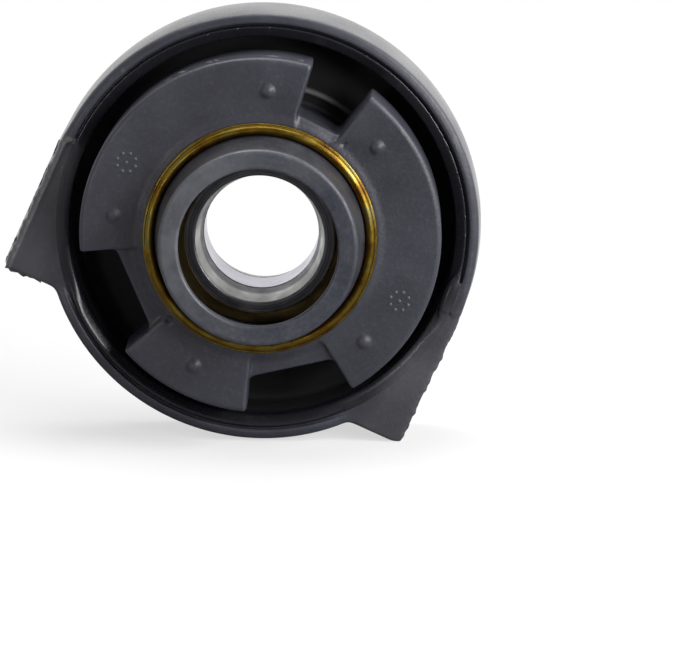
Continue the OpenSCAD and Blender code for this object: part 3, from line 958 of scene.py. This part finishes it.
def make_mark(name, at):
    """Plain mould mark on a lobe's face: a small raised dot in a ring of others."""
    a = math.radians(at + LOBE_TURN)
    centre = np.array([MARK_R * math.cos(a), MARK_R * math.sin(a)])
    dots = [centre] + [centre + MARK_RING_R * np.array([math.cos(t), math.sin(t)])
                       for t in np.linspace(0, 2 * math.pi, MARK_DOTS, endpoint=False)]
    rings, spokes = 4, 12
    points, faces = [], []
    for cx, cu in dots:
        first = len(points)
        points.append((cx, cu, LOBE_FRONT + DOT_RISE))
        for k in range(1, rings + 1):
            slope = math.pi / 2 * k / rings
            out = DOT_R * math.sin(slope)
            height = LOBE_FRONT - DOT_SUNK + (DOT_RISE + DOT_SUNK) * math.cos(slope)
            for s in range(spokes):
                t = 2 * math.pi * s / spokes
                points.append((cx + out * math.cos(t), cu + out * math.sin(t), height))
        for s in range(spokes):
            n = (s + 1) % spokes
            faces.append((first, first + 1 + s, first + 1 + n))
            for k in range(rings - 1):
                low = first + 1 + k * spokes
                faces.append((low + s, low + spokes + s, low + spokes + n, low + n))
        faces.append(tuple(first + 1 + (rings - 1) * spokes + s for s in reversed(range(spokes))))
    made = mesh_object(name, points, faces, RUBBER)
    made.data.polygons.foreach_set("use_smooth", [len(face) <= 4 for face in faces])
    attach(made, "housing")
    return made


make_mark("mould_mark_right", MARK_TURN)
make_mark("mould_mark_left", 180 - MARK_TURN)


# Turned pieces
def make_turned(name, profile, material, body, node):
    made = lathe(name, rounded(profile), material)
    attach(made, body)
    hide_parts(node)
    return made


# Dust seals
DUST_WALL = 1.6
DUST_FACE_R = 25.5
DUST_SUNK = 3.0
DUST_CONE_AT = SLEEVE_FRONT - DUST_SUNK
DUST_HOLE_R = 20.5
DUST_LIP = 2.4
dust_profile = [
    (DUST_OUT_R - DUST_WALL, DUST_FOOT, 0.2), (DUST_OUT_R, DUST_FOOT, 0.2), (DUST_OUT_R, DUST_CONE_AT, 0.6),
    (DUST_FACE_R, DUST_FRONT, 1.0), (DUST_HOLE_R, DUST_FRONT, 0.8),
    (DUST_HOLE_R, DUST_FRONT - DUST_LIP, 0.3), (DUST_HOLE_R + DUST_WALL, DUST_FRONT - DUST_LIP, 0.3),
    (DUST_HOLE_R + DUST_WALL, DUST_FRONT - DUST_WALL, 0.3),
    (DUST_FACE_R - DUST_WALL, DUST_FRONT - DUST_WALL, 0.5), (DUST_OUT_R - DUST_WALL, DUST_CONE_AT, 0.5)]
make_turned("dust_seal_front", dust_profile, CAP, "housing", "front_dust_seal")
make_turned("dust_seal_rear", turned_over(dust_profile), CAP, "housing", "rear_dust_seal")

# Sleeve: its bead, and the thin edge that is wrapped down outside it by an angle in radians
BEAD_R = 1.3
BEAD_IN = 0.2
BEAD_IN_R = SLEEVE_IN_R - BEAD_IN
BEAD_POINTS = 48
EDGE_R = 0.45
EDGE_OUT = 0.05
EDGE_DROP = 1.1
EDGE_WRAP = 1.9
EDGE_POINTS = 12
EDGE_ROOT = 0.3
SLEEVE_SEGMENTS = 256


def sleeve_profile():
    """Sleeve with a round bead at each end, and a thin lower edge outside the bead."""
    bead = np.array([BEAD_IN_R + BEAD_R, SLEEVE_FRONT - BEAD_R])
    edge = np.array([LIP_OUT_R + EDGE_OUT, SLEEVE_FRONT - EDGE_DROP - EDGE_R])
    turns = np.linspace(-EDGE_WRAP, 0, EDGE_POINTS)
    under = [edge + EDGE_R * np.array([math.cos(a), math.sin(a)]) for a in turns]
    front = [(SLEEVE_OUT_R, under[0][1] - EDGE_ROOT)] + [tuple(p) for p in under]
    for r in np.linspace(edge[0] + EDGE_R, BEAD_IN_R, BEAD_POINTS)[1:]:
        heights = [c[1] + math.sqrt(max(0, size * size - (r - c[0]) ** 2))
                   for c, size in ((bead, BEAD_R), (edge, EDGE_R)) if abs(r - c[0]) <= size + 1e-9]
        front.append((r, max(heights)))
    front.append((SLEEVE_IN_R, bead[1] - BEAD_R))
    return np.array(front + [(r, -f) for r, f in reversed(front)])


sleeve = lathe("sleeve_rolled", sleeve_profile(), ZINC, SLEEVE_SEGMENTS)
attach(sleeve, "housing")
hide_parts("bearing_sleeve")

# Slingers
SLINGER_RIM_R = 19.6
SLINGER_MOUTH_R = 16.8
SLINGER_PLAY = 0.1
DISC_T = 1.4
FOOT_LONG = 3.4
DISC_AT = SLINGER_FOOT + FOOT_LONG
FOOT_STEP = 0.4
FOOT_R = SHOULDER_R - FOOT_STEP
slinger_profile = [
    (BORE_R + SLINGER_PLAY, SLINGER_FOOT, 0.1), (FOOT_R, SLINGER_FOOT, 0.2), (FOOT_R, DISC_AT, 0.2),
    (DISC_R, DISC_AT, 0.3), (DISC_R, DISC_AT + DISC_T, 0.3), (SLINGER_RIM_R, DISC_AT + DISC_T, 0.4),
    (SLINGER_RIM_R, SLINGER_FRONT, 0.4), (SLINGER_MOUTH_R, SLINGER_FRONT, 0.5)]
make_turned("slinger_front", slinger_profile, SLINGER, "rotor", "front_slinger")
make_turned("slinger_rear", turned_over(slinger_profile), SLINGER, "rotor", "rear_slinger")


# Finish of the solids that stay as they are
FINISH = {"inner_ring": STEEL, "outer_ring": STEEL, "front_bearing_seal": CAP, "rear_bearing_seal": CAP,
          "cage_front_half": PRESSED, "cage_rear_half": PRESSED, "cage_rivets": PRESSED}
for name, node in nodes.items():
    finish = POLISHED if name.startswith("ball_") else FINISH.get(name)
    if finish is not None:
        node.data.materials.clear()
        node.data.materials.append(finish)


# Stage, tilted in the part's own frame
def from_photo(right, away, up):
    """A direction or point of the leaning view, in millimetres, as a row-frame vector."""
    x = right * math.cos(ROLL) - up * math.sin(ROLL)
    z = right * math.sin(ROLL) + up * math.cos(ROLL)
    return Vector((x, away, z)) * MM


# Floor: radius, how far its middle lies behind the part's, the share that is whole, and its paint
FLOOR_R = 260.0
FLOOR_BACK = 10.0
FLOOR_WHOLE = 0.55
FLOOR_GREY = 0.30
FLOOR_LIFT = 0.62


def make_floor():
    """Round patch of pale floor, seen from above only and fading out at its edge."""
    rings, spokes = 24, 96
    centre = Vector((0, FLOOR_BACK * MM, 0)) + from_photo(0, 0, -REST_DROP)
    right, away = from_photo(1, 0, 0) / MM, Vector((0, 1, 0))
    verts, faces = [centre], []
    for k in range(1, rings + 1):
        for s in range(spokes):
            a = 2 * math.pi * s / spokes
            verts.append(centre + (right * math.cos(a) + away * math.sin(a)) * FLOOR_R * MM * k / rings)
    for s in range(spokes):
        faces.append((0, 1 + s, 1 + (s + 1) % spokes))
        for k in range(rings - 1):
            a, b = 1 + k * spokes + s, 1 + k * spokes + (s + 1) % spokes
            faces.append((a, a + spokes, b + spokes, b))
    mesh = bpy.data.meshes.new("floor")
    mesh.from_pydata(verts, [], faces)
    made = bpy.data.objects.new("floor", mesh)
    bpy.context.scene.collection.objects.link(made)

    material = bpy.data.materials.new("floor_white")
    material.use_nodes = True
    tree = material.node_tree
    tree.nodes.clear()
    paint = add(tree, "ShaderNodeBsdfDiffuse", {"Color": (FLOOR_GREY, FLOOR_GREY, FLOOR_GREY, 1)})
    seen = add(tree, "ShaderNodeLightPath").outputs["Is Camera Ray"]
    glow = math_node(tree, "MULTIPLY", seen, FLOOR_LIFT)
    lift = add(tree, "ShaderNodeEmission", {"Color": (1, 1, 1, 1), "Strength": glow})
    both = add(tree, "ShaderNodeAddShader", {0: paint.outputs[0], 1: lift.outputs[0]})
    offset = add(tree, "ShaderNodeVectorMath", {0: place(tree), 1: tuple(centre)}, operation="DISTANCE")
    edge = fade_mm(tree, offset.outputs["Value"], FLOOR_WHOLE * FLOOR_R, FLOOR_R)
    behind = add(tree, "ShaderNodeNewGeometry").outputs["Backfacing"]
    gone = math_node(tree, "MAXIMUM", edge, behind)
    clear = add(tree, "ShaderNodeBsdfTransparent")
    mix = add(tree, "ShaderNodeMixShader", {0: gone, 1: both.outputs[0], 2: clear.outputs[0]})
    add(tree, "ShaderNodeOutputMaterial", {"Surface": mix.outputs[0]})
    mesh.materials.append(material)
    return made


make_floor()


# World: from where the dim room in front fades to white, how dim it is, and its share as light
ROOM_FADE = (-0.8, 0.1)
ROOM_DIM = 0.22
ROOM_LIGHT = 0.25


def make_world():
    """White to the eye; reflections see white behind and above, and a dimmer room in front."""
    world = bpy.data.worlds.new("studio")
    world.use_nodes = True
    bpy.context.scene.world = world
    tree = world.node_tree
    tree.nodes.clear()
    rays = add(tree, "ShaderNodeLightPath").outputs
    looking = add(tree, "ShaderNodeTexCoord").outputs["Generated"]
    dim, white = ROOM_FADE
    room = add(tree, "ShaderNodeMapRange",
               {"Value": split(tree, looking)["Y"], "From Min": dim, "From Max": white,
                "To Min": ROOM_DIM, "To Max": 1.0}).outputs["Result"]
    ambient = math_node(tree, "MULTIPLY", room, ROOM_LIGHT)
    shiny = math_node(tree, "MAXIMUM", rays["Is Glossy Ray"], rays["Is Transmission Ray"])
    lit = mixed(tree, shiny, ambient, room)
    level = mixed(tree, rays["Is Camera Ray"], lit, (1.0, 1.0, 1.0))
    light = add(tree, "ShaderNodeBackground", {"Color": level, "Strength": 1.0})
    add(tree, "ShaderNodeOutputWorld", {"Surface": light.outputs[0]})


make_world()


def make_lamp(name, where, size, power):
    """Square soft lamp that faces the part."""
    data = bpy.data.lights.new(name, "AREA")
    data.size = size
    data.energy = power
    lamp = bpy.data.objects.new(name, data)
    lamp.location = where
    lamp.rotation_mode = "QUATERNION"
    lamp.rotation_quaternion = (-where).to_track_quat("-Z", "Y")
    bpy.context.scene.collection.objects.link(lamp)
    return lamp


# Lamps: place in the leaning view in millimetres, side in metres and power in watts
LAMPS = {
    "lamp_key": ((620, -240, 360), 0.42, 6.4),
    "lamp_right": ((400, -450, 125), 0.24, 2.3),
    "lamp_left": ((-260, -560, 20), 0.1, 0.45),
    "lamp_top": ((-50, 90, 745), 0.6, 5.5)}
for name, (where, size, power) in LAMPS.items():
    make_lamp(name, from_photo(*where), size, power)


# Camera at the photograph's angle, with the bore where the photograph has it
PHOTO_W, PHOTO_H = 689, 654
BORE_PX = (261.3, 231.9)
MM_PER_PX = 0.2613
VIEW_DISTANCE = 850.0
VIEW_AZIMUTH = math.radians(2.5)
VIEW_ELEVATION = math.radians(12.0)


def make_camera():
    data = bpy.data.cameras.new("camera")
    focal_px = VIEW_DISTANCE / MM_PER_PX
    data.sensor_width = 36.0
    data.lens = data.sensor_width * focal_px / PHOTO_W
    camera = bpy.data.objects.new("camera", data)
    bpy.context.scene.collection.objects.link(camera)
    target = Vector((0, -RACE_FRONT * MM, 0))
    back = from_photo(math.sin(VIEW_AZIMUTH) * math.cos(VIEW_ELEVATION),
                      -math.cos(VIEW_AZIMUTH) * math.cos(VIEW_ELEVATION), math.sin(VIEW_ELEVATION)) / MM
    up = from_photo(0, 0, 1) / MM
    right = up.cross(back).normalized()
    up = back.cross(right)
    camera.location = target + back * VIEW_DISTANCE * MM
    look = Matrix((right, up, back)).transposed().to_quaternion()
    seen_at = Vector(((BORE_PX[0] - PHOTO_W / 2) / focal_px, (PHOTO_H / 2 - BORE_PX[1]) / focal_px, -1))
    camera.rotation_mode = "QUATERNION"
    camera.rotation_quaternion = look @ seen_at.rotation_difference(Vector((0, 0, -1)))
    bpy.context.scene.camera = camera


make_camera()
bpy.context.scene.view_settings.view_transform = "Standard"
